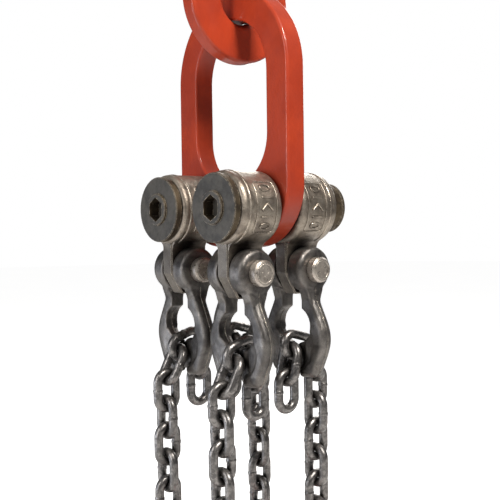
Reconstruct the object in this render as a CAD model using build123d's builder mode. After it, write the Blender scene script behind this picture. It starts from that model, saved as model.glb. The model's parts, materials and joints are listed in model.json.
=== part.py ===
"""Four leg chain sling head, with shortening clutches and sling hooks.

Frame: millimetres, +Z up, +X across the two axles, +Y along the axles.
Origin: the top of the master ring's hole, where a crane hook bears.
Everything hangs below the origin, in the pose that the loaded legs pull it to.
"""

import os
from math import cos, hypot, radians, sin, sqrt

from build123d import *

os.makedirs("parts", exist_ok=True)

# ---------------------------------------------------------------- chain size
WIRE = 13.0                 # chain wire diameter
PITCH = 39.0                # inside length of one link
INNER_WIDTH = 17.0          # inside width of one link
TOUCH = 0.4                 # gap left where two pieces bear on each other

# ---------------------------------------------------------------- master ring
RING_LOW_R = 88.0           # outer radius of the round lower end
RING_TOP_R = 72.0           # outer radius of the narrower upper end
RING_HOLE_R = 33.0
RING_HOLE_RISE = 100.0      # between the two centres of the hole's round ends
RING_THICK = 25.0
RING_EDGE = 5.0
RING_LIP = 11.0             # rounding of the hole's lips

# ---------------------------------------------------------------- hanger link
LINK_HALF_W = 120.0
LINK_OPEN_HALF_W = 77.8
LINK_THICK = 32.0
LINK_LOW_CORNER_R = 88.0
OPEN_LOW_CORNER_R = 67.0
LINK_BOTTOM = -54.7         # below the axles
OPEN_BOTTOM = 36.0          # above the axles
LINK_EDGE = 4.0
OPEN_EDGE = 3.0

# ---------------------------------------------------------------- axles and hubs
AXLE_X = 63.5               # each axle's distance from the middle plane
AXLE_R = 25.0
RUN_GAP = 0.05              # radial running clearance in every bore
SIDE_GAP = 1.0              # between a hub and the hanger link
HUB_R = 49.5
HUB_LENGTH = 70.0
HUB_EDGE = 8.0
FLANGE_R = 46.0
FLANGE_GAP = 1.5
FLANGE_THICK = 9.0
NUT_R = 33.0
NUT_THICK = 20.0
NUT_CHAMFER = 2.5
TURNED_CHAMFER = 1.2        # on the other turned edges
SPIGOT_R = 20.0
SPIGOT_LENGTH = 14.0
BOSS_R = 22.5
BOSS_HEIGHT = 4.0
SOCKET_FLATS = 30.0
SOCKET_DEPTH = 16.0

# ---------------------------------------------------------------- lug and clutch pin
PIN_DROP = 86.0             # clutch pin below the axle
PIN_R = 14.0
PIN_HEAD_R = 17.5
PIN_HEAD_THICK = 13.0
PIN_CHAMFER = 2.5
LUG_THICK = 22.0
LUG_HALF_W = 31.0
LUG_TIP_HALF_W = 13.0
LUG_SIDE_BOTTOM = -5.0      # from the clutch pin
LUG_TIP = -35.0
LUG_BLEND_R = 14.0
LUG_CORNER_R = 5.0
LUG_CHAMFER = 2.0

# ---------------------------------------------------------------- clutch, from its pin
OUTLINE = (                 # half of its front outline: shoulder, waist, arm, widest place, heel
    (35.0, 0.0), (36.0, -32.0), (49.0, -62.0), (60.0, -98.0), (47.0, -136.0), (0.0, -153.0),
)
EYE_R = 31.5
EYE_INNER = 12.5
EYE_OUTER = 37.5
EYE_OUTER_ROUND = 7.0
CLUTCH_HALF_THICK = 11.0
CLUTCH_EDGE = 8.0
ARM_GAP = 19.0              # half width of the slot under the lug
SLOT_TOP = 20.0
WINDOW_HALF_W = 35.0
WINDOW_HALF_H = 27.0
WINDOW_Z = -78.0
GROOVE_HALF_W = 8.0
GROOVE_BOTTOM = -134.0
DISH_HALF_W = 42.0
DISH_HALF_H = 36.0
DISH_Z = -108.0
CHEEK_HALF_THICK = 4.7
RELIEF_HALF_W = 14.0        # where the live links cross the heel
RELIEF_TOP = -129.5
RELIEF_FLOOR = -144.5
RELIEF_HEIGHT = 30.0

# ---------------------------------------------------------------- chain in the clutch
POCKET_IN = 0.4             # pocket link's centre, inwards of the clutch's plane
POCKET_Z = -110.0
POCKET_TILT = 16.0          # the pocket link's outer end hangs down
FIRST_TILT = 28.0           # the first live link leans out over the clutch's rim
STOP_TILT = 12.5            # the stop link leans in over the other rim

# ---------------------------------------------------------------- sling hook, from its pin
HOOK_PIN_R = 8.0
JAW_HALF_GAP = 7.7
JAW_HALF_W = 17.0
JAW_R = 17.0
JAW_DEPTH = 24.0
JAW_FLOOR = 8.0
JAW_CLEAR = 1.0             # the jaw's slot runs past its round top
NECK_TOP = -12.0
NECK_Z = -40.0
NECK_BACK = -15.0
NECK_FRONT = 14.0
SHANK_FRONT = (-20.0, -78.0)
HOOK_BACK = -47.0           # where the back runs into the round outside
TIP_INNER = 33.0
BEND_R = 8.0
NOSE_R = 3.0
HOOK_HALF_THICK = 11.0
HOOK_R = 52.0
HOOK_EDGE = 5.0
HOOK_Z = -100.0
BOWL_R = 25.0
BOWL_SHIFT = 4.0
BOWL_RISE = 3.0
TIP_TOP = -68.0
LATCH_PIVOT = (2.0, -46.0)
LATCH_TIP = (31.0, -67.0)
LATCH_PIN_R = 3.0
LATCH_EAR_R = 7.0
LATCH_TIP_R = 2.5
LATCH_HALF_W = 13.7
LATCH_EAR_GAP = 11.2
LATCH_CUT_R = 15.0          # the ears stand free of the neck this far round the pivot
PIN_STUB = 1.5              # each small pin's end, outside what it carries

# ---------------------------------------------------------------- derived places
WIRE_R = WIRE / 2
BOW_R = (INNER_WIDTH + WIRE) / 2                 # wire centre line of a link's bow
BOW_CENTRE = PITCH / 2 + WIRE_R - BOW_R          # from the link's centre to its bow's centre
BEARING = BOW_R - WIRE - TOUCH                   # from that to the next link's wire centre
WIRE_REACH = PITCH / 2 + WIRE_R                  # from the link's centre to its end's wire centre

LINK_SPRING = 187.0                              # centre of the opening's round top, over the axles
OPEN_TOP = LINK_SPRING + LINK_OPEN_HALF_W
# The opening's flat, edge-rounded section rests in the round hole on its two edges.
SEAT_HALF_CHORD = LINK_THICK / 2 - OPEN_EDGE
SEAT_RISE = sqrt((RING_HOLE_R - TOUCH - OPEN_EDGE) ** 2 - SEAT_HALF_CHORD**2)
RING_LOW_OVER_AXLE = OPEN_TOP + OPEN_EDGE + SEAT_RISE
AXLE_Z = -(RING_LOW_OVER_AXLE + RING_HOLE_RISE + RING_HOLE_R)
RING_LOW_Z = AXLE_Z + RING_LOW_OVER_AXLE
RING_TOP_Z = RING_LOW_Z + RING_HOLE_RISE

HUB_Y = LINK_THICK / 2 + SIDE_GAP + HUB_LENGTH / 2
HUB_END = HUB_Y + HUB_LENGTH / 2
FLANGE_Y = HUB_END + FLANGE_GAP
PIN_Z = AXLE_Z - PIN_DROP

LEGS = {
    "front_left": (-1, -1),
    "front_right": (1, -1),
    "rear_left": (-1, 1),
    "rear_right": (1, 1),
}


def write(part, name):
    """Label one finished piece and write it as its own STEP file."""
    part.label = name
    export_step(part, f"parts/{name}.step")


# ================================================================ sketch planes
def across_axle(x, y):
    """Sketch plane square to an axle, looking back along -Y."""
    return Plane(origin=(x, y, AXLE_Z), x_dir=(1, 0, 0), z_dir=(0, -1, 0))


def across_pin(x, y):
    """Sketch plane square to a clutch pin, at its middle."""
    return Plane(origin=(x, y, PIN_Z), x_dir=(0, 1, 0), z_dir=(1, 0, 0))


# ================================================================ master ring
def make_master_ring():
    with BuildPart() as ring:
        with BuildSketch(Plane.YZ):
            with Locations((0, RING_LOW_Z)):
                Circle(RING_LOW_R)
            with Locations((0, RING_TOP_Z)):
                Circle(RING_TOP_R)
            make_hull()
        extrude(amount=RING_THICK / 2, both=True)
        fillet(ring.faces().filter_by(Axis.X).edges(), radius=RING_EDGE)
        with BuildSketch(Plane.YZ):
            with Locations((0, (RING_LOW_Z + RING_TOP_Z) / 2)):
                SlotCenterToCenter(RING_HOLE_RISE, 2 * RING_HOLE_R, rotation=90)
        extrude(amount=RING_THICK / 2, both=True, mode=Mode.SUBTRACT)
        hole_lips = ring.faces().filter_by(Axis.X).wires().sort_by(SortBy.LENGTH)[:2]
        fillet([edge for lip in hole_lips for edge in lip.edges()], radius=RING_LIP)
    write(ring.part, "master_ring")


# ================================================================ hanger link
def round_ended_outline(half_w, spring_z, bottom_z, corner_r):
    """Half-round top, straight sides and two large bottom corners."""
    corner_z = bottom_z + corner_r
    flat = half_w - corner_r
    bulge = corner_r * sin(radians(45))
    with BuildLine() as outline:
        ThreePointArc((-half_w, spring_z), (0, spring_z + half_w), (half_w, spring_z))
        Line((half_w, spring_z), (half_w, corner_z))
        ThreePointArc((half_w, corner_z), (flat + bulge, corner_z - bulge), (flat, bottom_z))
        Line((flat, bottom_z), (-flat, bottom_z))
        ThreePointArc((-flat, bottom_z), (-flat - bulge, corner_z - bulge), (-half_w, corner_z))
        Line((-half_w, corner_z), (-half_w, spring_z))
    make_face(outline.edges())


def make_hanger_link():
    middle = across_axle(0, 0)
    with BuildPart() as link:
        with BuildSketch(middle):
            round_ended_outline(LINK_HALF_W, LINK_SPRING, LINK_BOTTOM, LINK_LOW_CORNER_R)
        extrude(amount=LINK_THICK / 2, both=True)
        fillet(link.faces().filter_by(Axis.Y).edges(), radius=LINK_EDGE)
        with BuildSketch(middle):
            round_ended_outline(LINK_OPEN_HALF_W, LINK_SPRING, OPEN_BOTTOM, OPEN_LOW_CORNER_R)
        extrude(amount=LINK_THICK / 2, both=True, mode=Mode.SUBTRACT)
        lips = link.faces().filter_by(Axis.Y).wires().sort_by(SortBy.LENGTH)[:2]
        fillet([edge for lip in lips for edge in lip.edges()], radius=OPEN_EDGE)
        with BuildSketch(middle):
            with Locations((-AXLE_X, 0), (AXLE_X, 0)):
                Circle(AXLE_R + RUN_GAP)
        extrude(amount=LINK_THICK / 2, both=True, mode=Mode.SUBTRACT)
    write(link.part, "hanger_link")


# ================================================================ axles and their nuts
def make_axle(side, x):
    with BuildPart() as axle:
        with BuildSketch(across_axle(x, -FLANGE_Y)):
            Circle(FLANGE_R)
        extrude(amount=FLANGE_THICK)
        chamfer(axle.faces().sort_by(Axis.Y)[0].edges(), length=TURNED_CHAMFER)
        with BuildSketch(across_axle(x, -FLANGE_Y - FLANGE_THICK)):
            Circle(BOSS_R)
        extrude(amount=BOSS_HEIGHT)
        chamfer(axle.faces().sort_by(Axis.Y)[0].edges(), length=TURNED_CHAMFER)
        with BuildSketch(across_axle(x, FLANGE_Y)):
            Circle(AXLE_R)
        extrude(amount=2 * FLANGE_Y)
        with BuildSketch(across_axle(x, FLANGE_Y + SPIGOT_LENGTH)):
            Circle(SPIGOT_R)
        extrude(amount=SPIGOT_LENGTH)
        with BuildSketch(across_axle(x, -FLANGE_Y - FLANGE_THICK - BOSS_HEIGHT)):
            RegularPolygon(SOCKET_FLATS / 2, 6, major_radius=False, rotation=30)
        extrude(amount=-SOCKET_DEPTH, mode=Mode.SUBTRACT)
    write(axle.part, f"axle_{side}")


def make_axle_nut(side, x):
    with BuildPart() as nut:
        with BuildSketch(across_axle(x, FLANGE_Y)):
            Circle(NUT_R)
        extrude(amount=-NUT_THICK)
        chamfer(nut.faces().sort_by(Axis.Y)[-1].edges(), length=NUT_CHAMFER)
        chamfer(nut.faces().sort_by(Axis.Y)[0].edges(), length=TURNED_CHAMFER)
        with BuildSketch(across_axle(x, FLANGE_Y)):
            Circle(SPIGOT_R)
        extrude(amount=-SPIGOT_LENGTH, mode=Mode.SUBTRACT)
    write(nut.part, f"axle_nut_{side}")


# ================================================================ hub with its lug
def hub_blend():
    """The flare that joins the flat lug to the round hub, from the hub's axis."""
    half_t = LUG_THICK / 2
    centre_x = half_t + LUG_BLEND_R
    centre_z = -sqrt((HUB_R + LUG_BLEND_R) ** 2 - centre_x**2)
    reach = HUB_R / (HUB_R + LUG_BLEND_R)
    hub_point = (centre_x * reach, centre_z * reach)
    lug_point = (half_t, centre_z)
    way_x = hub_point[0] + lug_point[0] - 2 * centre_x
    way_z = hub_point[1] + lug_point[1] - 2 * centre_z
    scale = LUG_BLEND_R / hypot(way_x, way_z)
    middle = (centre_x + way_x * scale, centre_z + way_z * scale)
    with BuildLine() as flare:
        Polyline((0, 0), hub_point)
        ThreePointArc(hub_point, middle, lug_point)
        Polyline(lug_point, (0, centre_z), (0, 0))
    make_face(flare.edges())
    mirror(about=Plane.YZ)


def round_hub_body():
    """The plain round hub, centred on the world origin with its axis along Z."""
    with BuildPart() as body:
        with BuildSketch():
            Circle(HUB_R)
        extrude(amount=HUB_LENGTH / 2, both=True)
        fillet(body.faces().filter_by(Axis.Z).edges(), radius=HUB_EDGE)
    return body.part


def make_hub(leg, sx, sy):
    x, y = sx * AXLE_X, sy * HUB_Y
    with BuildPart() as hub:
        with BuildSketch(across_pin(x, y)):
            with BuildLine():
                Polyline(
                    (-LUG_HALF_W, PIN_DROP / 2), (-LUG_HALF_W, LUG_SIDE_BOTTOM),
                    (-LUG_TIP_HALF_W, LUG_TIP), (LUG_TIP_HALF_W, LUG_TIP),
                    (LUG_HALF_W, LUG_SIDE_BOTTOM), (LUG_HALF_W, PIN_DROP / 2), close=True,
                )
            make_face()
        extrude(amount=LUG_THICK / 2, both=True)
        corners = hub.edges().filter_by(Axis.X).group_by(Axis.Z)
        fillet(corners[0] + corners[1], radius=LUG_CORNER_R)
        rims = hub.faces().filter_by(Axis.X).edges()
        chamfer([e for e in rims if e.center().Z < PIN_Z + PIN_DROP / 2 - 1], length=LUG_CHAMFER)
        with BuildSketch(across_axle(x, y)):
            hub_blend()
        extrude(amount=LUG_HALF_W - LUG_CHAMFER, both=True)
        with Locations(across_axle(x, y)):
            add(round_hub_body())
        with BuildSketch(across_axle(x, y)):
            Circle(AXLE_R + RUN_GAP)
        extrude(amount=HUB_LENGTH / 2, both=True, mode=Mode.SUBTRACT)
        with BuildSketch(across_pin(x, y)):
            Circle(PIN_R + RUN_GAP)
        extrude(amount=LUG_THICK, both=True, mode=Mode.SUBTRACT)
    write(hub.part, f"hub_{leg}")


# ================================================================ clutch and its pin
def make_clutch_pin(leg, sx, sy):
    plane = across_pin(sx * AXLE_X, sy * HUB_Y)
    with BuildPart() as pin:
        with BuildSketch(plane):
            Circle(PIN_R)
        extrude(amount=EYE_OUTER, both=True)
        for end in (1, -1):
            with BuildSketch(plane.offset(end * (EYE_OUTER + TOUCH))):
                Circle(PIN_HEAD_R)
            extrude(amount=end * PIN_HEAD_THICK)
            outer = pin.faces().filter_by(Axis.X).sort_by(Axis.X)[-1 if end > 0 else 0]
            chamfer(outer.edges(), length=PIN_CHAMFER)
        with BuildSketch(plane):
            Circle(PIN_R)
        extrude(amount=EYE_OUTER + 2 * TOUCH, both=True)
    write(pin.part, f"clutch_pin_{leg}")


def clutch_outline():
    """One half of the clutch's front outline, from its pin, then its mirror image."""
    with BuildLine() as half:
        Line((0, 0), OUTLINE[0])
        Spline(*OUTLINE, tangents=((0, -1), (-1, 0)))
        Line(OUTLINE[-1], (0, 0))
    make_face(half.edges())
    mirror(about=Plane.YZ)


def make_clutch(leg, sx, sy):
    x, y = sx * AXLE_X, sy * HUB_Y
    front = Plane(origin=(x, y, PIN_Z), x_dir=(1, 0, 0), z_dir=(0, -1, 0))
    eye_plane = across_pin(x, y)
    with BuildPart() as clutch:
        with BuildSketch(front):
            clutch_outline()
        extrude(amount=CLUTCH_HALF_THICK, both=True)
        rims = clutch.faces().filter_by(Axis.Y).edges()
        fillet([e for e in rims if e.center().Z < PIN_Z - 1], radius=CLUTCH_EDGE)
        for face_side in (1, -1):
            with BuildSketch(front.offset(face_side * CHEEK_HALF_THICK)):
                with Locations((0, DISH_Z)):
                    Ellipse(DISH_HALF_W, DISH_HALF_H)
                with Locations((0, RELIEF_TOP)):
                    Rectangle(2 * RELIEF_HALF_W, RELIEF_HEIGHT, align=(Align.CENTER, Align.MAX))
            extrude(amount=face_side * CLUTCH_HALF_THICK, mode=Mode.SUBTRACT)
        with BuildSketch(front):
            with Locations((0, WINDOW_Z)):
                Ellipse(WINDOW_HALF_W, WINDOW_HALF_H)
            with Locations((0, (WINDOW_Z + GROOVE_BOTTOM + GROOVE_HALF_W) / 2)):
                Rectangle(2 * GROOVE_HALF_W, WINDOW_Z - GROOVE_BOTTOM - GROOVE_HALF_W)
            with Locations((0, GROOVE_BOTTOM + GROOVE_HALF_W)):
                Circle(GROOVE_HALF_W)
            with Locations((0, SLOT_TOP)):
                Rectangle(2 * ARM_GAP, SLOT_TOP - WINDOW_Z, align=(Align.CENTER, Align.MAX))
            with Locations((0, RELIEF_FLOOR)):
                Rectangle(2 * RELIEF_HALF_W, RELIEF_HEIGHT, align=(Align.CENTER, Align.MAX))
        extrude(amount=CLUTCH_HALF_THICK, both=True, mode=Mode.SUBTRACT)
        for end in (1, -1):
            with BuildSketch(eye_plane.offset(end * EYE_INNER)):
                Circle(EYE_R)
            extrude(amount=end * (EYE_OUTER - EYE_INNER))
            rims = clutch.edges().filter_by(GeomType.CIRCLE)
            rims = [e for e in rims if abs(e.radius - EYE_R) < 0.01 and (e.center().X - x) * end > 0]
            outer = [e for e in rims if abs(e.center().X - x) > EYE_OUTER - 0.1]
            fillet(outer, radius=EYE_OUTER_ROUND)
        with BuildSketch(eye_plane):
            Circle(PIN_R + RUN_GAP)
        extrude(amount=EYE_OUTER + 1, both=True, mode=Mode.SUBTRACT)
    write(clutch.part, f"clutch_{leg}")


# ================================================================ chain
class LegChain:
    """Where each link of one leg lies: centre, pull direction and the normal of its flat."""

    def __init__(self, sx, sy):
        self.x = sx * AXLE_X
        self.sy = sy
        pocket = self.pull(90 - POCKET_TILT)
        self.pocket = (self.point(-POCKET_IN, POCKET_Z), pocket, Vector(1, 0, 0))
        self.live = []
        crosswise = True
        link = self.pocket
        for tilt in [FIRST_TILT] + [0] * 7:
            link = self.follow(link, self.pull(tilt), crosswise)
            self.live.append(link)
            crosswise = not crosswise
        back = (self.pocket[0], -pocket, self.pocket[2])
        self.stop = self.follow(back, self.pull(-STOP_TILT), True)
        self.dead = self.follow(self.stop, self.pull(0), False)

    def point(self, out, z):
        """A point of the leg's own plane, measured outwards and up from the clutch pin."""
        return Vector(self.x, self.sy * (HUB_Y + out), PIN_Z + z)

    def pull(self, lean):
        """The downward direction that leans outwards by so many degrees."""
        return Vector(0, self.sy * sin(radians(lean)), -cos(radians(lean)))

    @staticmethod
    def follow(link, pull, crosswise):
        """The link that hangs from another link's lower bow and pulls along pull.

        A crosswise link leans in the upper link's own plane, so its wire stays inside that bow's round.
        The next link leans in its own plane instead, about the crosswise link's wire.
        """
        if crosswise:
            wire = link[0] + link[1] * BOW_CENTRE + pull * BEARING
            return (wire + pull * WIRE_REACH, pull, pull.cross(Vector(1, 0, 0)))
        wire = link[0] + link[1] * WIRE_REACH - pull * (WIRE + TOUCH)
        return (wire + pull * WIRE_REACH, pull, Vector(1, 0, 0))


def add_link(link):
    """Add one round-wire link to the open part builder: two straight sides and two half-round bows."""
    centre, pull, normal = link
    across = normal.cross(pull)
    for side in (1, -1):
        foot = centre - pull * BOW_CENTRE + across * (side * BOW_R)
        with BuildSketch(Plane(origin=foot, z_dir=pull), mode=Mode.PRIVATE) as wire:
            Circle(WIRE_R)
        extrude(wire.sketch, amount=2 * BOW_CENTRE)
    for end in (1, -1):
        bow = centre + pull * (end * BOW_CENTRE)
        foot = bow - across * (end * BOW_R)
        with BuildSketch(Plane(origin=foot, z_dir=pull), mode=Mode.PRIVATE) as wire:
            Circle(WIRE_R)
        revolve(wire.sketch, axis=Axis(bow, normal), revolution_arc=180)


def make_chain(name, links):
    """Links that share one node stay separate solids."""
    with BuildPart() as chain:
        for link in links:
            add_link(link)
    write(chain.part, name)


def make_leg_chain(leg, chain):
    make_chain(f"pocket_links_{leg}", [chain.pocket, chain.stop])
    make_chain(f"dead_end_link_{leg}", [chain.dead])
    for number in (1, 2, 3):
        make_chain(f"live_link_{number}_{leg}", chain.live[number - 1:number])
    make_chain(f"live_links_4_5_{leg}", chain.live[3:5])
    make_chain(f"live_links_6_8_{leg}", chain.live[5:8])


# ================================================================ sling hook
def hook_pin_point(chain):
    """The hook pin bears in the last link's lower bow."""
    centre = chain.live[-1][0]
    return centre + Vector(0, 0, -(WIRE_REACH - WIRE_R - TOUCH - HOOK_PIN_R))


def hook_plane(chain):
    """Side view of a hook: local x points outwards, local y up, from the hook pin."""
    return Plane(origin=hook_pin_point(chain), x_dir=(0, chain.sy, 0), z_dir=(chain.sy, 0, 0))


def on_hook_rim(out):
    """A point of the hook's round outside, by its distance outwards."""
    return (out, HOOK_Z + sqrt(HOOK_R**2 - out**2))


def make_hook(leg, chain):
    plane = hook_plane(chain)
    jaw_base = -JAW_DEPTH - JAW_FLOOR
    bowl_z = HOOK_Z + BOWL_RISE
    tip = on_hook_rim(sqrt(HOOK_R**2 - (TIP_TOP - HOOK_Z) ** 2))
    back = on_hook_rim(HOOK_BACK)
    bowl_left = (BOWL_SHIFT - BOWL_R, bowl_z)
    bowl_right = (BOWL_SHIFT + BOWL_R, bowl_z)
    with BuildPart() as hook:
        with BuildSketch(plane) as profile:
            with BuildLine():
                Polyline(
                    back, (NECK_BACK, NECK_Z), (NECK_BACK, NECK_TOP), (NECK_FRONT, NECK_TOP),
                    (NECK_FRONT, NECK_Z), SHANK_FRONT, bowl_left,
                )
                ThreePointArc(bowl_left, (BOWL_SHIFT, bowl_z - BOWL_R), bowl_right)
                Polyline(bowl_right, (TIP_INNER, TIP_TOP), tip)
                ThreePointArc(tip, (0, HOOK_Z - HOOK_R), back)
            make_face()
            corners = profile.vertices()
            fillet([v for v in corners if v.Y < NECK_Z + 1 and v.X < BOWL_R], radius=BEND_R)
            nose = [v for v in profile.vertices() if v.Y > TIP_TOP - NOSE_R and v.X > BOWL_R]
            fillet(nose, radius=NOSE_R)
        extrude(amount=HOOK_HALF_THICK, both=True)
        rims = hook.faces().filter_by(Axis.X).edges()
        below_neck = plane.origin.Z + NECK_TOP - 1
        fillet([e for e in rims if e.center().Z < below_neck], radius=HOOK_EDGE)
        with BuildSketch(plane):
            Circle(JAW_R)
            with Locations((0, jaw_base / 2)):
                Rectangle(2 * JAW_R, -jaw_base)
        extrude(amount=JAW_HALF_W, both=True)
        with BuildSketch(plane):
            with Locations((0, -JAW_DEPTH)):
                Rectangle(4 * JAW_R, JAW_DEPTH + JAW_R + JAW_CLEAR, align=(Align.CENTER, Align.MIN))
        extrude(amount=JAW_HALF_GAP, both=True, mode=Mode.SUBTRACT)
        with BuildSketch(plane):
            Circle(HOOK_PIN_R + RUN_GAP)
            with Locations(LATCH_PIVOT):
                Circle(LATCH_PIN_R + RUN_GAP)
        extrude(amount=JAW_HALF_W + 1, both=True, mode=Mode.SUBTRACT)
    write(hook.part, f"hook_{leg}")


def make_hook_pins(leg, chain):
    """The load pin of the jaw and the small pin of the latch."""
    plane = hook_plane(chain)
    with BuildPart() as pins:
        with BuildSketch(plane):
            Circle(HOOK_PIN_R)
        extrude(amount=JAW_HALF_W + PIN_STUB, both=True)
        with BuildSketch(plane):
            with Locations(LATCH_PIVOT):
                Circle(LATCH_PIN_R)
        extrude(amount=LATCH_HALF_W + PIN_STUB, both=True)
    write(pins.part, f"hook_pins_{leg}")


def make_latch(leg, chain):
    plane = hook_plane(chain)
    with BuildPart() as latch:
        with BuildSketch(plane):
            with Locations(LATCH_PIVOT):
                Circle(LATCH_EAR_R)
            with Locations(LATCH_TIP):
                Circle(LATCH_TIP_R)
            make_hull()
        extrude(amount=LATCH_HALF_W, both=True)
        with BuildSketch(plane):
            with Locations(LATCH_PIVOT):
                Circle(LATCH_CUT_R)
        extrude(amount=LATCH_EAR_GAP, both=True, mode=Mode.SUBTRACT)
        with BuildSketch(plane):
            with Locations(LATCH_PIVOT):
                Circle(LATCH_PIN_R + RUN_GAP)
        extrude(amount=LATCH_HALF_W, both=True, mode=Mode.SUBTRACT)
    write(latch.part, f"latch_{leg}")


# ================================================================ build everything
make_master_ring()
make_hanger_link()
for side, sign in (("left", -1), ("right", 1)):
    make_axle(side, sign * AXLE_X)
    make_axle_nut(side, sign * AXLE_X)
for leg, (sx, sy) in LEGS.items():
    chain = LegChain(sx, sy)
    make_hub(leg, sx, sy)
    make_clutch_pin(leg, sx, sy)
    make_clutch(leg, sx, sy)
    make_leg_chain(leg, chain)
    make_hook(leg, chain)
    make_hook_pins(leg, chain)
    make_latch(leg, chain)
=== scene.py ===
"""Looks of the four leg chain sling: materials, forged and stamped detail, studio, camera.

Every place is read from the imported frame. Lengths are in metres, in the part's own axes:
+Z up along the pull, +X across the two axles, +Y along them.
"""

import json
import math
import random

import bmesh
import bpy
import numpy
from mathutils import Matrix, Vector


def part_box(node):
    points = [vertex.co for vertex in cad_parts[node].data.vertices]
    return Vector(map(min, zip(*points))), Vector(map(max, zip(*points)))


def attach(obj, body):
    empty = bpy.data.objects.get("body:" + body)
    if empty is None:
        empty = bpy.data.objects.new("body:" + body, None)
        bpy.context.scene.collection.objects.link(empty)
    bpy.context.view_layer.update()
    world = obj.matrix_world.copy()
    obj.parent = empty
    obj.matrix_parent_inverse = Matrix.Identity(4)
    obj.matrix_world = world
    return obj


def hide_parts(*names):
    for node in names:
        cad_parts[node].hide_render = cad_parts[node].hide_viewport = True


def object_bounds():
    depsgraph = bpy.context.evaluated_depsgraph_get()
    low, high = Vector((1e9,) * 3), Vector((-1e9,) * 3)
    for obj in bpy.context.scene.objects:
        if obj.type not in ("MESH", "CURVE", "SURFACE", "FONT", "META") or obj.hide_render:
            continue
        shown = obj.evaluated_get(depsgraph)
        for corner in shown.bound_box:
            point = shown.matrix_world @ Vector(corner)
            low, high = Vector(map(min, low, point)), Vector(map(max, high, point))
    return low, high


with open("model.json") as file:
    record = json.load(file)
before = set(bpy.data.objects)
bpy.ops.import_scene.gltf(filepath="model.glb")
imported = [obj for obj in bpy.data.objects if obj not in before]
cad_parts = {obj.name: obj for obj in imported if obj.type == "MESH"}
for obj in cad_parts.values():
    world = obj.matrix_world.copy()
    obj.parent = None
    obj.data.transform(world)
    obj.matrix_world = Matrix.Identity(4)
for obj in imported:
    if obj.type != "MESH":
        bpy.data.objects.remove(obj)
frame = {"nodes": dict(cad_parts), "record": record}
cad_low, cad_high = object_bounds()

MM = 0.001
LEGS = [f"{end}_{side}" for end in ("front", "rear") for side in ("left", "right")]
random.seed(8)


# ================================================================ places read from the frame
def middle(node):
    low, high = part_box(node)
    return (low + high) / 2


def outward(leg):
    """Signs of x and y on that leg's side of the sling."""
    centre = middle(f"hub_{leg}")
    return math.copysign(1, centre.x), math.copysign(1, centre.y)


AXLE_Z = middle("axle_right").z
AXLE_X = middle("axle_right").x
BOSS_HEIGHT = 4 * MM
FRONT_FACE_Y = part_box("axle_right")[0].y + BOSS_HEIGHT
HUB_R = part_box("hub_front_right")[1].z - AXLE_Z
PIN_HEAD_R = (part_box("clutch_pin_front_right")[1].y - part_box("clutch_pin_front_right")[0].y) / 2


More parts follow.
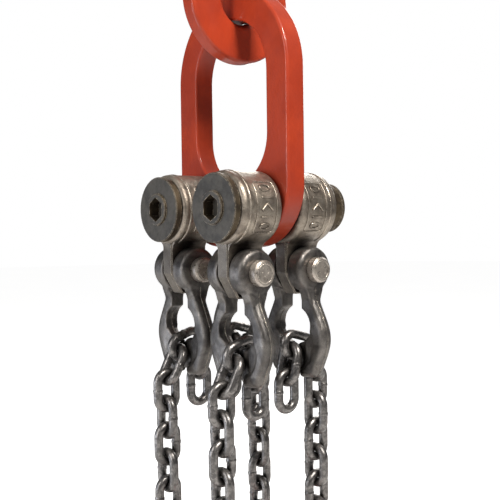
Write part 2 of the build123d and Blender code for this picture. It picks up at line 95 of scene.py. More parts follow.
# ================================================================ material building
class Shader:
    """One node material, with short ways to add and join its nodes. Sizes are in metres."""

    def __init__(self, name):
        self.material = bpy.data.materials.new(name)
        self.material.use_nodes = True
        self.tree = self.material.node_tree
        self.tree.nodes.clear()
        self.surface = self.add("ShaderNodeBsdfPrincipled")
        output = self.add("ShaderNodeOutputMaterial")
        self.tree.links.new(self.surface.outputs["BSDF"], output.inputs["Surface"])
        self.place = self.add("ShaderNodeTexCoord").outputs["Object"]

    def add(self, kind, **settings):
        node = self.tree.nodes.new(kind)
        for key, value in settings.items():
            setattr(node, key, value)
        return node

    def feed(self, node, **inputs):
        """Sets or joins inputs by name, with _ for a space."""
        for key, value in inputs.items():
            socket = node.inputs[key.replace("_", " ")]
            if isinstance(value, bpy.types.NodeSocket):
                self.tree.links.new(value, socket)
            else:
                socket.default_value = value
        return node

    def stretched(self, scale):
        """The object's coordinates, stretched by scale along x, y and z."""
        node = self.feed(self.add("ShaderNodeMapping"), Vector=self.place, Scale=scale)
        return node.outputs["Vector"]

    def noise(self, size, detail=4.0, roughness=0.55, distortion=0.0, place=None):
        node = self.feed(
            self.add("ShaderNodeTexNoise"),
            Vector=place or self.place,
            Scale=1 / size,
            Detail=detail,
            Roughness=roughness,
            Distortion=distortion,
        )
        return node.outputs["Fac"]

    def cells(self, size, place=None):
        """Distance from the nearest of a scatter of points about size apart."""
        node = self.feed(self.add("ShaderNodeTexVoronoi"), Vector=place or self.place, Scale=1 / size)
        return node.outputs["Distance"]

    def ramp(self, value, low, high, start=0.0, end=1.0):
        """value carried from low..high to start..end, smoothly, and held there outside."""
        node = self.add("ShaderNodeMapRange", interpolation_type="SMOOTHSTEP")
        self.feed(node, Value=value, From_Min=low, From_Max=high, To_Min=start, To_Max=end)
        return node.outputs["Result"]

    def math(self, operation, a, b=0.0):
        node = self.add("ShaderNodeMath", operation=operation)
        for socket, value in zip(node.inputs, (a, b)):
            if isinstance(value, bpy.types.NodeSocket):
                self.tree.links.new(value, socket)
            else:
                socket.default_value = value
        return node.outputs["Value"]

    def mix(self, share, a, b):
        """Colour a where share is 0, b where it is 1."""
        node = self.add("ShaderNodeMix", data_type="RGBA")
        for index, value in ((0, share), (6, a), (7, b)):
            if isinstance(value, bpy.types.NodeSocket):
                self.tree.links.new(value, node.inputs[index])
            else:
                node.inputs[index].default_value = value if index == 0 else (*value, 1)
        return node.outputs[2]

    def edges(self, radius):
        """1 on edges sharper than about that radius, 0 on flat and gently curved faces."""
        rounded = self.feed(self.add("ShaderNodeBevel", samples=6), Radius=radius).outputs["Normal"]
        true = self.add("ShaderNodeNewGeometry").outputs["Normal"]
        product = self.add("ShaderNodeVectorMath", operation="DOT_PRODUCT")
        self.tree.links.new(rounded, product.inputs[0])
        self.tree.links.new(true, product.inputs[1])
        return self.ramp(product.outputs["Value"], 0.995, 0.88)

    def crevice_shade(self, reach):
        """1 deep in corners, slots and cavities that open less than about reach, 0 in the open: the
        mask for painted shade.
        """
        node = self.add("ShaderNodeAmbientOcclusion", samples=8)
        return self.ramp(self.feed(node, Distance=reach).outputs["AO"], 0.8, 0.25)

    def facing(self, axis):
        """How squarely the surface faces along the object's own axis: 0 to 1 either way."""
        normal = self.add("ShaderNodeTexCoord").outputs["Normal"]
        parts = self.feed(self.add("ShaderNodeSeparateXYZ"), Vector=normal)
        return self.math("ABSOLUTE", parts.outputs[axis])

    def bump(self, *layers):
        """Each layer is (height value 0..1, height in metres, strength), from coarse to fine."""
        normal = None
        for height, depth, strength in layers:
            node = self.feed(
                self.add("ShaderNodeBump"), Height=height, Distance=depth, Strength=strength
            )
            if normal is not None:
                self.feed(node, Normal=normal)
            normal = node.outputs["Normal"]
        self.feed(self.surface, Normal=normal)

    def done(self, **inputs):
        self.feed(self.surface, **inputs)
        return self.material


def sprayed_paint(name, light, deep, chip):
    """Glossy red paint over forged steel: soft tone changes, orange peel, a few chips on edges, painted
    shade in corners and gaps.
    """
    s = Shader(name)
    tone = s.ramp(s.noise(70 * MM, detail=3.0), 0.38, 0.62)
    streaks = s.noise(9 * MM, detail=5.0, place=s.stretched((1, 1, 0.12)))
    colour = s.mix(tone, light, deep)
    colour = s.mix(s.ramp(streaks, 0.5, 0.75, 0.0, 0.35), colour, deep)
    grime = s.ramp(s.noise(2.2 * MM, detail=6.0, roughness=0.7), 0.62, 0.72)
    colour = s.mix(s.math("MULTIPLY", grime, 0.25), colour, (0.12, 0.03, 0.02))
    worn = s.math("MULTIPLY", s.edges(1.2 * MM), s.ramp(s.noise(3.5 * MM, detail=6.0), 0.6, 0.68))
    colour = s.mix(worn, colour, chip)
    # painted shade: corners, slots and gaps between parts are turned dark red
    colour = s.mix(s.math("MULTIPLY", s.crevice_shade(16 * MM), 0.6), colour, (0.09, 0.012, 0.007))
    s.bump(
        (s.noise(16 * MM, detail=3.0), 1.8 * MM, 0.35),
        (s.noise(2.4 * MM, detail=2.0), 0.25 * MM, 0.3),
        (worn, -0.15 * MM, 0.6),
    )
    rough = s.ramp(s.noise(25 * MM), 0.35, 0.7, 0.34, 0.5)
    return s.done(
        Base_Color=colour,
        Roughness=s.math("ADD", rough, s.math("MULTIPLY", worn, 0.25)),
        Metallic=s.math("MULTIPLY", worn, 0.8),
        Specular_IOR_Level=0.2,
        Coat_Weight=0.45,
        Coat_Roughness=0.035,
    )


def forged_steel(name, light, dark, bright, grain=0.9 * MM, polish=0.42, metallic=0.85, shaded_heights=None):
    """Shot-blasted forging: cloudy tone, fine grain, small pits, edges rubbed bright, painted shade in
    corners and gaps.

    shaded_heights is the pair of heights between which it turns dark, downwards: painted shade on the
    underside."""
    s = Shader(name)
    cloud = s.ramp(s.noise(26 * MM, detail=5.0, distortion=0.6), 0.36, 0.66)
    speckle = s.ramp(s.noise(grain, detail=4.0, roughness=0.75), 0.4, 0.62)
    colour = s.mix(cloud, light, dark)
    colour = s.mix(s.math("MULTIPLY", speckle, 0.45), colour, dark)
    if shaded_heights:
        # painted shade: darker towards the bottom between the two heights, on the underside
        height = s.feed(s.add("ShaderNodeSeparateXYZ"), Vector=s.place).outputs["Z"]
        colour = s.mix(s.ramp(height, *shaded_heights, 0.0, 0.62), colour, (0.06, 0.056, 0.052))
    stain = s.ramp(s.noise(8 * MM, detail=7.0, roughness=0.65, distortion=1.2), 0.55, 0.7)
    colour = s.mix(s.math("MULTIPLY", stain, 0.35), colour, (0.09, 0.06, 0.04))
    pits = s.ramp(s.cells(3.4 * MM), 0.24, 0.1)
    pits = s.math("MULTIPLY", pits, s.ramp(s.noise(12 * MM), 0.48, 0.62))
    colour = s.mix(s.math("MULTIPLY", pits, 0.6), colour, (0.03, 0.025, 0.02))
    worn = s.math("MULTIPLY", s.edges(2.2 * MM), s.ramp(s.noise(5 * MM, detail=5.0), 0.34, 0.6))
    colour = s.mix(s.math("MULTIPLY", worn, 0.75), colour, bright)
    # painted shade: corners, slots and gaps between parts are turned near black
    colour = s.mix(s.math("MULTIPLY", s.crevice_shade(15 * MM), 0.85), colour, (0.022, 0.018, 0.015))
    s.bump(
        (s.noise(16 * MM, detail=3.0), 1.4 * MM, 0.3),
        (s.noise(grain, detail=5.0, roughness=0.75), 0.4 * MM, 0.75),
        (pits, -0.3 * MM, 0.7),
    )
    rough = s.ramp(s.noise(6 * MM, detail=6.0), 0.35, 0.7, polish - 0.08, polish + 0.16)
    rough = s.math("SUBTRACT", rough, s.math("MULTIPLY", worn, 0.1))
    return s.done(Base_Color=colour, Roughness=rough, Metallic=metallic)


def chain_steel(name, light, dark):
    """Oiled black chain: smooth wire with rubbed patches, fine drawn scratches and brown stains,
    painted shade in corners and where links meet.
    """
    s = Shader(name)
    rubbed = s.ramp(s.noise(7 * MM, detail=5.0, roughness=0.6, distortion=0.8), 0.42, 0.62)
    colour = s.mix(rubbed, dark, light)
    scratches = s.noise(0.55 * MM, detail=3.0, place=s.stretched((1, 1, 0.1)))
    colour = s.mix(s.ramp(scratches, 0.52, 0.68, 0.0, 0.5), colour, light)
    rust = s.ramp(s.noise(5 * MM, detail=7.0, roughness=0.7), 0.6, 0.72)
    colour = s.mix(s.math("MULTIPLY", rust, 0.35), colour, (0.12, 0.07, 0.035))
    # painted shade: corners and the gaps where links meet are turned near black
    colour = s.mix(s.math("MULTIPLY", s.crevice_shade(8 * MM), 0.8), colour, (0.03, 0.026, 0.024))
    s.bump(
        (s.noise(7 * MM, detail=3.0), 0.35 * MM, 0.25),
        (scratches, 0.06 * MM, 0.25),
        (s.noise(0.8 * MM, detail=3.0), 0.05 * MM, 0.3),
    )
    rough = s.ramp(s.noise(3 * MM, detail=4.0), 0.35, 0.7, 0.3, 0.44)
    return s.done(Base_Color=colour, Roughness=rough, Metallic=0.92)


def blackened_steel(name):
    """Turned axle ends: matt dark faces with pits, olive-brown rims with chipped bright edges."""
    s = Shader(name)
    face = s.ramp(s.facing("Y"), 0.55, 0.8)
    tone = s.ramp(s.noise(18 * MM, detail=5.0), 0.38, 0.65)
    face_colour = s.mix(tone, (0.082, 0.075, 0.064), (0.05, 0.046, 0.041))
    rim_colour = s.mix(tone, (0.11, 0.082, 0.05), (0.05, 0.038, 0.026))
    colour = s.mix(face, rim_colour, face_colour)
    dust = s.ramp(s.noise(1.4 * MM, detail=5.0, roughness=0.8), 0.54, 0.68)
    colour = s.mix(s.math("MULTIPLY", dust, 0.4), colour, (0.17, 0.15, 0.125))
    worn = s.math("MULTIPLY", s.edges(1.6 * MM), s.ramp(s.noise(4 * MM, detail=6.0), 0.42, 0.6))
    colour = s.mix(worn, colour, (0.52, 0.44, 0.33))
    pits = s.math("MULTIPLY", s.ramp(s.cells(4.5 * MM), 0.2, 0.08), s.ramp(s.noise(9 * MM), 0.5, 0.6))
    colour = s.mix(s.math("MULTIPLY", pits, 0.8), colour, (0.012, 0.01, 0.01))
    s.bump(
        (s.noise(0.9 * MM, detail=4.0, roughness=0.7), 0.2 * MM, 0.5),
        (s.math("ADD", pits, worn), -0.3 * MM, 0.6),
    )
    rough = s.ramp(s.noise(6 * MM), 0.35, 0.7, 0.45, 0.62)
    metal = s.math("MULTIPLY_ADD", face, -0.35)
    metal.node.inputs[2].default_value = 0.75
    return s.done(Base_Color=colour, Roughness=rough, Metallic=metal)


def plated_sheet(name):
    """Zinc-plated latch: pale, faintly spangled, with finger grime."""
    s = Shader(name)
    spangle = s.ramp(s.cells(5 * MM), 0.1, 0.7)
    colour = s.mix(spangle, (0.62, 0.62, 0.6), (0.42, 0.43, 0.43))
    grime = s.ramp(s.noise(6 * MM, detail=6.0), 0.52, 0.68)
    colour = s.mix(s.math("MULTIPLY", grime, 0.5), colour, (0.16, 0.13, 0.1))
    s.bump((s.noise(0.7 * MM, detail=3.0), 0.08 * MM, 0.5), (spangle, 0.1 * MM, 0.3))
    return s.done(Base_Color=colour, Roughness=s.ramp(grime, 0.0, 1.0, 0.3, 0.5), Metallic=0.95)


LUG_SHADE = (AXLE_Z - 34 * MM, AXLE_Z - 62 * MM)  # the hubs are painted darker between these heights: painted shade under the axle

MATERIALS = {
    "red_paint": sprayed_paint(
        "red_paint", (0.42, 0.046, 0.0155), (0.345, 0.037, 0.0145), (0.2, 0.17, 0.15)
    ),
    "red_hook_paint": sprayed_paint(
        "red_hook_paint", (0.44, 0.044, 0.02), (0.33, 0.03, 0.017), (0.22, 0.2, 0.18)
    ),
    "forged_hub_steel": forged_steel(
        "forged_hub_steel", (0.47, 0.41, 0.34), (0.2, 0.168, 0.138), (0.82, 0.74, 0.62),
        grain=1.3 * MM, polish=0.36, shaded_heights=LUG_SHADE,
    ),
    "forged_clutch_steel": forged_steel(
        "forged_clutch_steel", (0.25, 0.232, 0.215), (0.085, 0.08, 0.077), (0.56, 0.49, 0.4),
        polish=0.36,
    ),
    "chain_steel": chain_steel("chain_steel", (0.3, 0.284, 0.272), (0.15, 0.143, 0.14)),
    "blackened_steel": blackened_steel("blackened_steel"),
    "pin_steel": forged_steel(
        "pin_steel", (0.62, 0.56, 0.5), (0.34, 0.3, 0.26), (0.85, 0.78, 0.68), polish=0.34
    ),
    "pressed_latch_steel": plated_sheet("pressed_latch_steel"),
}

SLOT_OF = {row["node"]: row["material_slot"] for row in frame["record"]["subparts"]}
for node, thing in frame["nodes"].items():
    thing.data.materials.clear()
    thing.data.materials.append(MATERIALS[SLOT_OF[node]])


# ================================================================ new pieces
SUNK = 0.25 * MM  # how deep a raised detail's edge is set into the surface that it stands on
BEAD_STEPS = 6  # flats across a raised bead
WELD_APART = 0.02 * MM  # vertices nearer than this are one, where a CAD mesh is split along its edges


def keep_piece(name, mesh, slot, body, smooth=True):
    """A finished bmesh becomes a piece that rides on a CAD body, in a slot's material."""
    bmesh.ops.recalc_face_normals(mesh, faces=mesh.faces)
    data = bpy.data.meshes.new(name)
    mesh.to_mesh(data)
    mesh.free()
    for face in data.polygons:
        face.use_smooth = smooth
    piece = bpy.data.objects.new(name, data)
    bpy.context.scene.collection.objects.link(piece)
    piece.data.materials.append(MATERIALS[slot])
    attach(piece, body)
    return piece


def add_bead(mesh, path, width, height, surface, closed=True):
    """A half-round raised bead along a flat path, laid on a surface.

    path is a list of (s, t); surface(s, t, h) gives the point that lies h above the surface."""
    angles = [math.pi * k / BEAD_STEPS for k in range(BEAD_STEPS + 1)]
    profile = [(math.cos(angle), math.sin(angle)) for angle in angles]
    rows = []
    count = len(path)
    for i, (s, t) in enumerate(path):
        ahead = path[(i + 1) % count] if closed or i < count - 1 else path[i]
        behind = path[i - 1] if closed or i > 0 else path[i]
        along = Vector((ahead[0] - behind[0], ahead[1] - behind[1])).normalized()
        across = Vector((-along.y, along.x)) * (width / 2)
        row = [
            mesh.verts.new(surface(s + across.x * c, t + across.y * c, height * h - SUNK))
            for c, h in profile
        ]
        rows.append(row)
    pairs = list(zip(rows, rows[1:] + rows[:1])) if closed else list(zip(rows, rows[1:]))
    for a, b in pairs:
        for k in range(len(profile)):
            n = (k + 1) % len(profile)
            mesh.faces.new((a[k], a[n], b[n], b[k]))
    if not closed:
        mesh.faces.new(rows[0])
        mesh.faces.new(list(reversed(rows[-1])))


def rounded_box_path(half_s, half_t, corner, steps=6):
    """Points round a rectangle with rounded corners, in order."""
    points = []
    for quarter, (cs, ct) in enumerate(((1, 1), (-1, 1), (-1, -1), (1, -1))):
        for k in range(steps + 1):
            angle = math.pi / 2 * (quarter + k / steps)
            points.append(
                (
                    cs * (half_s - corner) + corner * math.cos(angle),
                    ct * (half_t - corner) + corner * math.sin(angle),
                )
            )
    return points


def divided(path, step, closed=True):
    """The same path with points no further apart than step, so that it can wrap round a barrel."""
    out = []
    ends = path[1:] + (path[:1] if closed else [])
    for (s0, t0), (s1, t1) in zip(path, ends):
        parts = max(1, math.ceil(math.hypot(s1 - s0, t1 - t0) / step))
        out += [(s0 + (s1 - s0) * k / parts, t0 + (t1 - t0) * k / parts) for k in range(parts)]
    return out if closed else out + path[-1:]


def round_barrel(centre_x, centre_y, face=1):
    """A surface for add_bead: s runs round a hub's barrel, t along its axle."""

    def surface(s, t, height):
        turn = s / HUB_R
        radius = HUB_R + height
        x = centre_x + face * radius * math.cos(turn)
        return (x, centre_y + t, AXLE_Z + radius * math.sin(turn))

    return surface


def flat_end(x, way, centre):
    """A surface for add_bead: a flat face across x, whose outside is towards way."""

    def surface(s, t, height):
        return (x + way * height, centre.y + s, centre.z + t)

    return surface


# ---------------------------------------------------------------- raised panels and collars of the hubs
PANEL_HALF_LENGTH = 36 * MM  # round the barrel
PANEL_HALF_WIDTH = 17 * MM  # along the axle
PANEL_SHIFT = 6 * MM  # from the hub's middle towards the hanger link
PANEL_CORNER = 5 * MM
PANEL_BEAD = (2.4 * MM, 1.5 * MM)  # width and height of its raised outline
PANEL_STEP = 2 * MM
MARK_BEAD = (3.2 * MM, 2.2 * MM)
MARK_HALF = 9.5 * MM  # half height of each plain forged mark
MARK_PITCH = 13.2 * MM
MARK_STEP = 1.5 * MM
RING_POINTS = 20
COLLAR_BEAD = (5.5 * MM, 1.3 * MM)  # the raised ring near the hub's outer end
COLLAR_PLACE = 21 * MM  # from the hub's middle
COLLAR_STEPS = 120


def forged_marks():
    """Five plain shapes in a row: ring, bar, chevron, bar, ring. They say nothing."""
    turns = [math.tau * k / RING_POINTS for k in range(RING_POINTS)]
    ring = [(MARK_HALF * 0.45 * math.cos(turn), MARK_HALF * 0.85 * math.sin(turn)) for turn in turns]
    bar = [(0, -MARK_HALF), (0, MARK_HALF)]
    chevron = [(-MARK_HALF * 0.45, -MARK_HALF), (MARK_HALF * 0.5, 0), (-MARK_HALF * 0.45, MARK_HALF)]
    row = ((ring, True), (bar, False), (chevron, False), (bar, False), (ring, True))
    for index, (shape, closed) in enumerate(row):
        shift = (index - 2) * MARK_PITCH
        yield [(s + shift, t) for s, t in shape], closed


for leg in LEGS:
    hub = middle(f"hub_{leg}")
    side, end = outward(leg)
    panel_y = hub.y - end * PANEL_SHIFT
    for face, name in ((side, "outer"), (-side, "inner")):
        barrel = round_barrel(side * AXLE_X, panel_y, face)
        panel = bmesh.new()
        outline = rounded_box_path(PANEL_HALF_LENGTH, PANEL_HALF_WIDTH, PANEL_CORNER)
        add_bead(panel, divided(outline, PANEL_STEP), *PANEL_BEAD, barrel)
        for shape, closed in forged_marks():
            add_bead(panel, divided(shape, MARK_STEP, closed), *MARK_BEAD, barrel, closed)
        keep_piece(f"hub_panel_{name}_{leg}", panel, "forged_hub_steel", f"hub_{leg}")

    collar = bmesh.new()
    # It starts and ends at the bottom, inside the lug.
    turns = [math.tau * k / COLLAR_STEPS - math.pi / 2 for k in range(COLLAR_STEPS + 1)]
    ring = [(HUB_R * turn, end * COLLAR_PLACE) for turn in turns]
    add_bead(collar, ring, *COLLAR_BEAD, round_barrel(side * AXLE_X, hub.y), closed=False)
    keep_piece(f"hub_collar_{leg}", collar, "forged_hub_steel", f"hub_{leg}")


# ---------------------------------------------------------------- turned nuts behind the rear hubs
NUT_SIDES = 96
# (radius, distance behind the nut's inner face) in mm, from the bottom of its bore to its back face
NUT_PROFILE = (
    (0, 14.1), (20.1, 14.1), (20.1, 0), (34.2, 0), (35.4, 1.2), (35.4, 20), (34.4, 21), (34.4, 22.5),
    (35.4, 23.5), (35.4, 26.5), (33, 29), (23, 29), (21.5, 27), (0, 27),
)



def turned(profile, centre_x, start_y, centre_z, sides):
    """A solid turned about a line along y. A profile point at radius 0 is one vertex, a tip."""
    mesh = bmesh.new()
    rows = []
    for radius, back in profile:
        row = []
        for k in range(sides if radius else 1):
            x = centre_x + radius * MM * math.cos(math.tau * k / sides)
            z = centre_z + radius * MM * math.sin(math.tau * k / sides)
            row.append(mesh.verts.new((x, start_y + back * MM, z)))
        rows.append(row)
    for a, b in zip(rows, rows[1:]):
        for k in range(sides):
            n = (k + 1) % sides
            corners = [a[k % len(a)], a[n % len(a)], b[n % len(b)], b[k % len(b)]]
            mesh.faces.new(dict.fromkeys(corners))
    return mesh


for side in ("left", "right"):
    low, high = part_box(f"axle_nut_{side}")
    centre = (low + high) / 2
    nut = turned(NUT_PROFILE, centre.x, low.y, centre.z, NUT_SIDES)
    piece = keep_piece(f"axle_nut_turned_{side}", nut, "blackened_steel", f"axle_{side}", smooth=False)
    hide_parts(f"axle_nut_{side}")


# ---------------------------------------------------------------- stamped faces of the clutch pins
PIN_RIM_BEAD = (1.6 * MM, 0.7 * MM)
PIN_MARK_BEAD = (1.3 * MM, 0.6 * MM)
PIN_RIM_R = PIN_HEAD_R * 0.72
PIN_RIM_POINTS = 40
PIN_MARKS = 7
PIN_DASH = 2.2 * MM
PIN_DASH_STEP = 1 * MM

for leg in LEGS:
    low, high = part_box(f"clutch_pin_{leg}")
    centre = (low + high) / 2
    stamped = bmesh.new()
    for x, way in ((low.x, -1), (high.x, 1)):
        head = flat_end(x, way, centre)
        turns = [math.tau * k / PIN_RIM_POINTS for k in range(PIN_RIM_POINTS)]
        rim = [(PIN_RIM_R * math.cos(turn), PIN_RIM_R * math.sin(turn)) for turn in turns]
        add_bead(stamped, rim, *PIN_RIM_BEAD, head)
        for k in range(PIN_MARKS):
            turn = math.tau * (k + random.uniform(-0.2, 0.2)) / PIN_MARKS
            reach = PIN_RIM_R * random.uniform(0.3, 0.62)
            slant = turn + random.uniform(0.5, 1.4)
            start = (reach * math.cos(turn), reach * math.sin(turn))
            end = (start[0] + PIN_DASH * math.cos(slant), start[1] + PIN_DASH * math.sin(slant))
            dash = divided([start, end], PIN_DASH_STEP, False)
            add_bead(stamped, dash, *PIN_MARK_BEAD, head, False)
    keep_piece(f"clutch_pin_stamp_{leg}", stamped, "pin_steel", f"clutch_{leg}")


# ---------------------------------------------------------------- weld beads on the chain links
WELD_LENGTH = 7 * MM
WELD_SWELL = 0.75 * MM
WELD_SINK = 0.15 * MM  # how far the collar's ends lie inside the wire
WELD_ROUGHNESS = 0.06 * MM
WELD_ROWS = 8
WELD_SIDES = 20


def loose_parts(thing):
    """The vertex places of each separate solid in a node's mesh."""
    mesh = bmesh.new()
    mesh.from_mesh(thing.data)
    bmesh.ops.remove_doubles(mesh, verts=mesh.verts, dist=WELD_APART)
    seen = set()
    for first in mesh.verts:
        if first in seen:
            continue
        group, front = [], [first]
        seen.add(first)
        while front:
            vert = front.pop()
            group.append(vert.co.copy())
            for edge in vert.link_edges:
                other = edge.other_vert(vert)
                if other not in seen:
                    seen.add(other)
                    front.append(other)
        yield group
    mesh.free()


def link_axes(points):
    """Centre of a link, and unit vectors along its length, its width and its thickness."""
    places = numpy.array([tuple(p) for p in points])
    centre = (places.max(axis=0) + places.min(axis=0)) / 2
    spread = places - places.mean(axis=0)
    _, axes = numpy.linalg.eigh(spread.T @ spread)
    thick, wide, long = (Vector(axes[:, k]) for k in range(3))
    return Vector(centre), long, wide, thick, (spread @ numpy.array(wide)).max()


def add_weld(mesh, points):
    """A swollen collar round the middle of one straight side of a link."""
    centre, long, wide, thick, half_width = link_axes(points)
    wire_r = max((Vector(p) - centre).dot(thick) for p in points)
    core = centre + wide * (half_width - wire_r) * random.choice((-1, 1))
    rows = []
    for i in range(WELD_ROWS + 1):
        share = 2 * i / WELD_ROWS - 1
        swell = WELD_SWELL * (1 - share * share) * (1 + 0.25 * math.sin(7 * share))
        radius = wire_r - WELD_SINK + swell
        row = []
        for k in range(WELD_SIDES):
            turn = math.tau * k / WELD_SIDES
            reach = radius + random.uniform(-1, 1) * WELD_ROUGHNESS
            around = (wide * math.cos(turn) + thick * math.sin(turn)) * reach
            row.append(mesh.verts.new(core + long * (share * WELD_LENGTH / 2) + around))
        rows.append(row)
    for a, b in zip(rows, rows[1:]):
        for k in range(WELD_SIDES):
            n = (k + 1) % WELD_SIDES
            mesh.faces.new((a[k], a[n], b[n], b[k]))
    mesh.faces.new(rows[0])
    mesh.faces.new(list(reversed(rows[-1])))


for body, nodes in frame["record"]["behaviour"]["bodies"].items():
    for node in nodes:
        if SLOT_OF[node] == "chain_steel":
            welds = bmesh.new()
            for solid in loose_parts(frame["nodes"][node]):
                add_weld(welds, solid)
            keep_piece(f"weld_{node}", welds, "chain_steel", body)


# ---------------------------------------------------------------- forged bodies of the clutches
# Each solid is the hull of points (x, z, half thickness), from the clutch's pin, on one side of it.
CLUTCH_SHOULDERS = (
    (22, -103, 7.5), (26, -97, 8), (37, -86, 10), (46, -84, 10), (53, -98, 10), (51, -118, 10),
    (42, -134, 10), (22, -145, 7.5),
)
CLUTCH_HEEL = ((12, -137, 7), (26, -134, 9), (36, -140, 9), (24, -149, 8), (12, -151, 7))
CLUTCH_NECK = ((21, -20, 21), (36, -20, 19), (20, -44, 10.5), (38, -46, 9))
FORGING_GRAIN = 1.1 * MM  # size of the grid that the blended surface is rebuilt on
FORGING_BLEND = 22  # rounds of smoothing, which round the edges and fill the creases


def add_hull(mesh, centre, points, side):
    """The hull of points given as (x, z, half thickness) in mm, on one side of a clutch."""
    hull = bmesh.new()
    for x, z, half in points:
        for y in (-half, half):
            hull.verts.new(centre + Vector((side * x, y, z)) * MM)
    bmesh.ops.convex_hull(hull, input=hull.verts)
    bmesh.ops.recalc_face_normals(hull, faces=hull.faces)
    data = bpy.data.meshes.new("hull")
    hull.to_mesh(data)
    hull.free()
    mesh.from_mesh(data)
    bpy.data.meshes.remove(data)


def blended(mesh):
    """One closed skin round all the solids in mesh, with forged, rounded edges and creases."""
    data = bpy.data.meshes.new("blended")
    mesh.to_mesh(data)
    mesh.free()
    thing = bpy.data.objects.new("blended", data)
    bpy.context.scene.collection.objects.link(thing)
    skin = thing.modifiers.new("skin", "REMESH")
    skin.mode = "VOXEL"
    skin.voxel_size = FORGING_GRAIN
    smooth = thing.modifiers.new("smooth", "SMOOTH")
    smooth.factor = 0.5
    smooth.iterations = FORGING_BLEND
    bpy.context.view_layer.update()
    result = bmesh.new()
    result.from_mesh(thing.evaluated_get(bpy.context.evaluated_depsgraph_get()).to_mesh())
    bpy.data.objects.remove(thing)
    return result


clutch_skins = {}
for leg in LEGS:
    centre = middle(f"clutch_pin_{leg}")
    forging = bmesh.new()
    forging.from_mesh(frame["nodes"][f"clutch_{leg}"].data)
    bmesh.ops.remove_doubles(forging, verts=forging.verts, dist=WELD_APART)
    for side in (-1, 1):
        for solid in (CLUTCH_SHOULDERS, CLUTCH_HEEL, CLUTCH_NECK):
            add_hull(forging, centre, solid, side)
    skin = blended(forging)
    piece = keep_piece(f"clutch_forging_{leg}", skin, "forged_clutch_steel", f"clutch_{leg}")
    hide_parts(f"clutch_{leg}")
    clutch_skins[leg] = piece.data


# ---------------------------------------------------------------- parting lines of the forgings
def parting_line(skin, plane_point, plane_normal, name, slot, body, width, keep):
    """A fine flash line where a plane cuts a forging's skin, kept where keep(place) is true."""
    mesh = bmesh.new()
    mesh.from_mesh(skin)
    everything = list(mesh.verts) + list(mesh.edges) + list(mesh.faces)
    cut = bmesh.ops.bisect_plane(
        mesh, geom=everything, plane_co=plane_point, plane_no=plane_normal, dist=0.001 * MM
    )["geom_cut"]
    edges = [e for e in cut if isinstance(e, bmesh.types.BMEdge)]
    edges = [e for e in edges if keep((e.verts[0].co + e.verts[1].co) / 2)]
    curve = bpy.data.curves.new(name, "CURVE")
    curve.dimensions = "3D"
    curve.bevel_depth = width / 2
    curve.bevel_resolution = 2
    left = set(edges)
    while left:
        edge = left.pop()
        chain = [edge.verts[0], edge.verts[1]]
        for end in (0, -1):
            while True:
                nearby = [e for e in chain[end].link_edges if e in left]
                if not nearby:
                    break
                left.discard(nearby[0])
                other = nearby[0].other_vert(chain[end])
                chain.insert(0, other) if end == 0 else chain.append(other)
        line = curve.splines.new("POLY")
        line.points.add(len(chain) - 1)
        for point, vert in zip(line.points, chain):
            point.co = (*vert.co, 1)
    mesh.free()
    thing = bpy.data.objects.new(name, curve)
    bpy.context.scene.collection.objects.link(thing)
    bpy.context.view_layer.update()
    solid = bpy.data.meshes.new_from_object(thing.evaluated_get(bpy.context.evaluated_depsgraph_get()))
    bpy.data.objects.remove(thing)
    line = bmesh.new()
    line.from_mesh(solid)
    keep_piece(name, line, slot, body)


LINE_WIDTH = 1.5 * MM
for leg in LEGS:
    centre = middle(f"clutch_pin_{leg}")

    def outside(place, centre=centre):
        return abs(place.x - centre.x) > 26 * MM and place.z < centre.z - 24 * MM

    parting_line(
        clutch_skins[leg], centre, (0, 1, 0), f"clutch_parting_line_{leg}",
        "forged_clutch_steel", f"clutch_{leg}", LINE_WIDTH, outside,
    )


# ================================================================ studio and camera
def soft_light(name, place, target, size, power, colour):
    data = bpy.data.lights.new(name, "AREA")
    data.shape = "RECTANGLE"
    data.size, data.size_y = size
    data.energy = power
    data.color = colour
    light = bpy.data.objects.new(name, data)
    light.location = place
    light.rotation_euler = (Vector(target) - Vector(place)).to_track_quat("-Z", "Y").to_euler()
    bpy.context.scene.collection.objects.link(light)


def white_world():
    """Plain white behind the object, a softer grey as light on it."""
    world = bpy.data.worlds.new("studio")
    bpy.context.scene.world = world
    world.use_nodes = True
    tree = world.node_tree
    tree.nodes.clear()
    seen = tree.nodes.new("ShaderNodeBackground")
    seen.inputs["Color"].default_value = (1, 1, 1, 1)
    lit = tree.nodes.new("ShaderNodeBackground")
    place = tree.nodes.new("ShaderNodeTexCoord")
    ramp = tree.nodes.new("ShaderNodeValToRGB")
    split = tree.nodes.new("ShaderNodeSeparateXYZ")
    tree.links.new(place.outputs["Generated"], split.inputs[0])
    tree.links.new(split.outputs["Z"], ramp.inputs["Fac"])
    ramp.color_ramp.elements[0].color = (0.16, 0.17, 0.2, 1)
    ramp.color_ramp.elements[1].color = (0.8, 0.79, 0.77, 1)
    tree.links.new(ramp.outputs["Color"], lit.inputs["Color"])
    lit.inputs["Strength"].default_value = 0.34
    path = tree.nodes.new("ShaderNodeLightPath")
    mix = tree.nodes.new("ShaderNodeMixShader")
    output = tree.nodes.new("ShaderNodeOutputWorld")
    tree.links.new(path.outputs["Is Camera Ray"], mix.inputs[0])
    tree.links.new(lit.outputs[0], mix.inputs[1])
    tree.links.new(seen.outputs[0], mix.inputs[2])
    tree.links.new(mix.outputs[0], output.inputs["Surface"])


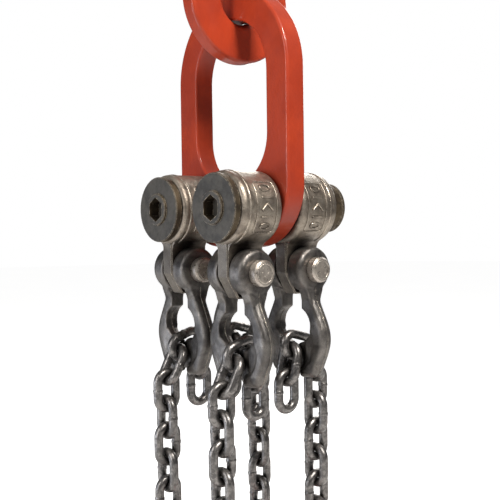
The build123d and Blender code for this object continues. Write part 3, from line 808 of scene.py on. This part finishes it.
def pale_floor(height, reach):
    """A plain matt floor under the hanging sling, faintly mottled."""
    s = Shader("studio_floor")
    tone = s.ramp(s.noise(0.6), 0.3, 0.7)
    s.done(
        Base_Color=s.mix(tone, (0.93, 0.93, 0.93), (0.9, 0.9, 0.9)),
        Roughness=0.9,
        Emission_Color=(1, 1, 1, 1),
        Emission_Strength=0.8,
    )
    mesh = bmesh.new()
    bmesh.ops.create_circle(mesh, cap_ends=True, segments=64, radius=reach)
    data = bpy.data.meshes.new("studio_floor")
    mesh.to_mesh(data)
    mesh.free()
    floor = bpy.data.objects.new("studio_floor", data)
    floor.location.z = height
    data.materials.append(s.material)
    bpy.context.scene.collection.objects.link(floor)
    alone = bpy.data.collections.new("lit_by_floor")
    alone.objects.link(floor)
    floor.light_linking.receiver_collection = alone


CAMERA_TURN = math.radians(49.59)
CAMERA_PITCH = math.radians(-2.01)
CAMERA_ROLL = math.radians(-0.74)
# How far right, up and ahead of the camera the near axle face is.
CAMERA_AWAY = Vector((-48.4, 54.8, 1037.8)) * MM
LENS = 57.6  # mm, on a 36 mm sensor


def place_camera():
    """The camera looks at the front of the right axle, a little from its side and from just above."""
    turn, pitch = CAMERA_TURN, CAMERA_PITCH
    level = math.cos(pitch)
    ahead = Vector((-math.sin(turn) * level, math.cos(turn) * level, math.sin(pitch)))
    right = Vector((math.cos(turn), math.sin(turn), 0))
    up = right.cross(ahead)
    c, s = math.cos(CAMERA_ROLL), math.sin(CAMERA_ROLL)
    right, up = right * c + up * s, up * c - right * s
    data = bpy.data.cameras.new("camera")
    data.lens = LENS
    data.sensor_width = 36
    data.clip_end = 100
    camera = bpy.data.objects.new("camera", data)
    near_face = Vector((AXLE_X, FRONT_FACE_Y, AXLE_Z))
    away = right * CAMERA_AWAY.x + up * CAMERA_AWAY.y + ahead * CAMERA_AWAY.z
    turned = Matrix((right, up, -ahead)).transposed().to_4x4()
    camera.matrix_world = Matrix.Translation(near_face - away) @ turned
    bpy.context.scene.collection.objects.link(camera)
    bpy.context.scene.camera = camera
    return right, up, ahead


view_right, view_up, view_ahead = place_camera()
target = Vector((0, 0, AXLE_Z - 0.05))


def from_camera(across, above, towards):
    """A place given in metres from the sling's head as the camera sees it."""
    return target + view_right * across + view_up * above - view_ahead * towards


white_world()
pale_floor(cad_low.z - 0.03, 12.0)
soft_light("key", from_camera(0.75, 1.5, 1.15), target, (0.6, 0.5), 49, (1.0, 0.96, 0.9))
soft_light("fill", from_camera(-1.3, 0.5, 1.2), target, (0.4, 1.4), 14, (1.0, 0.98, 0.96))
soft_light("cool_edge", from_camera(-1.5, -0.5, 0.2), target, (0.6, 1.6), 12, (0.8, 0.87, 1.0))
soft_light("back", from_camera(0.6, 1.0, -1.8), target, (1.4, 1.0), 22, (1.0, 0.98, 0.95))

bpy.context.scene.view_settings.view_transform = "Standard"
bpy.context.scene.view_settings.look = "None"
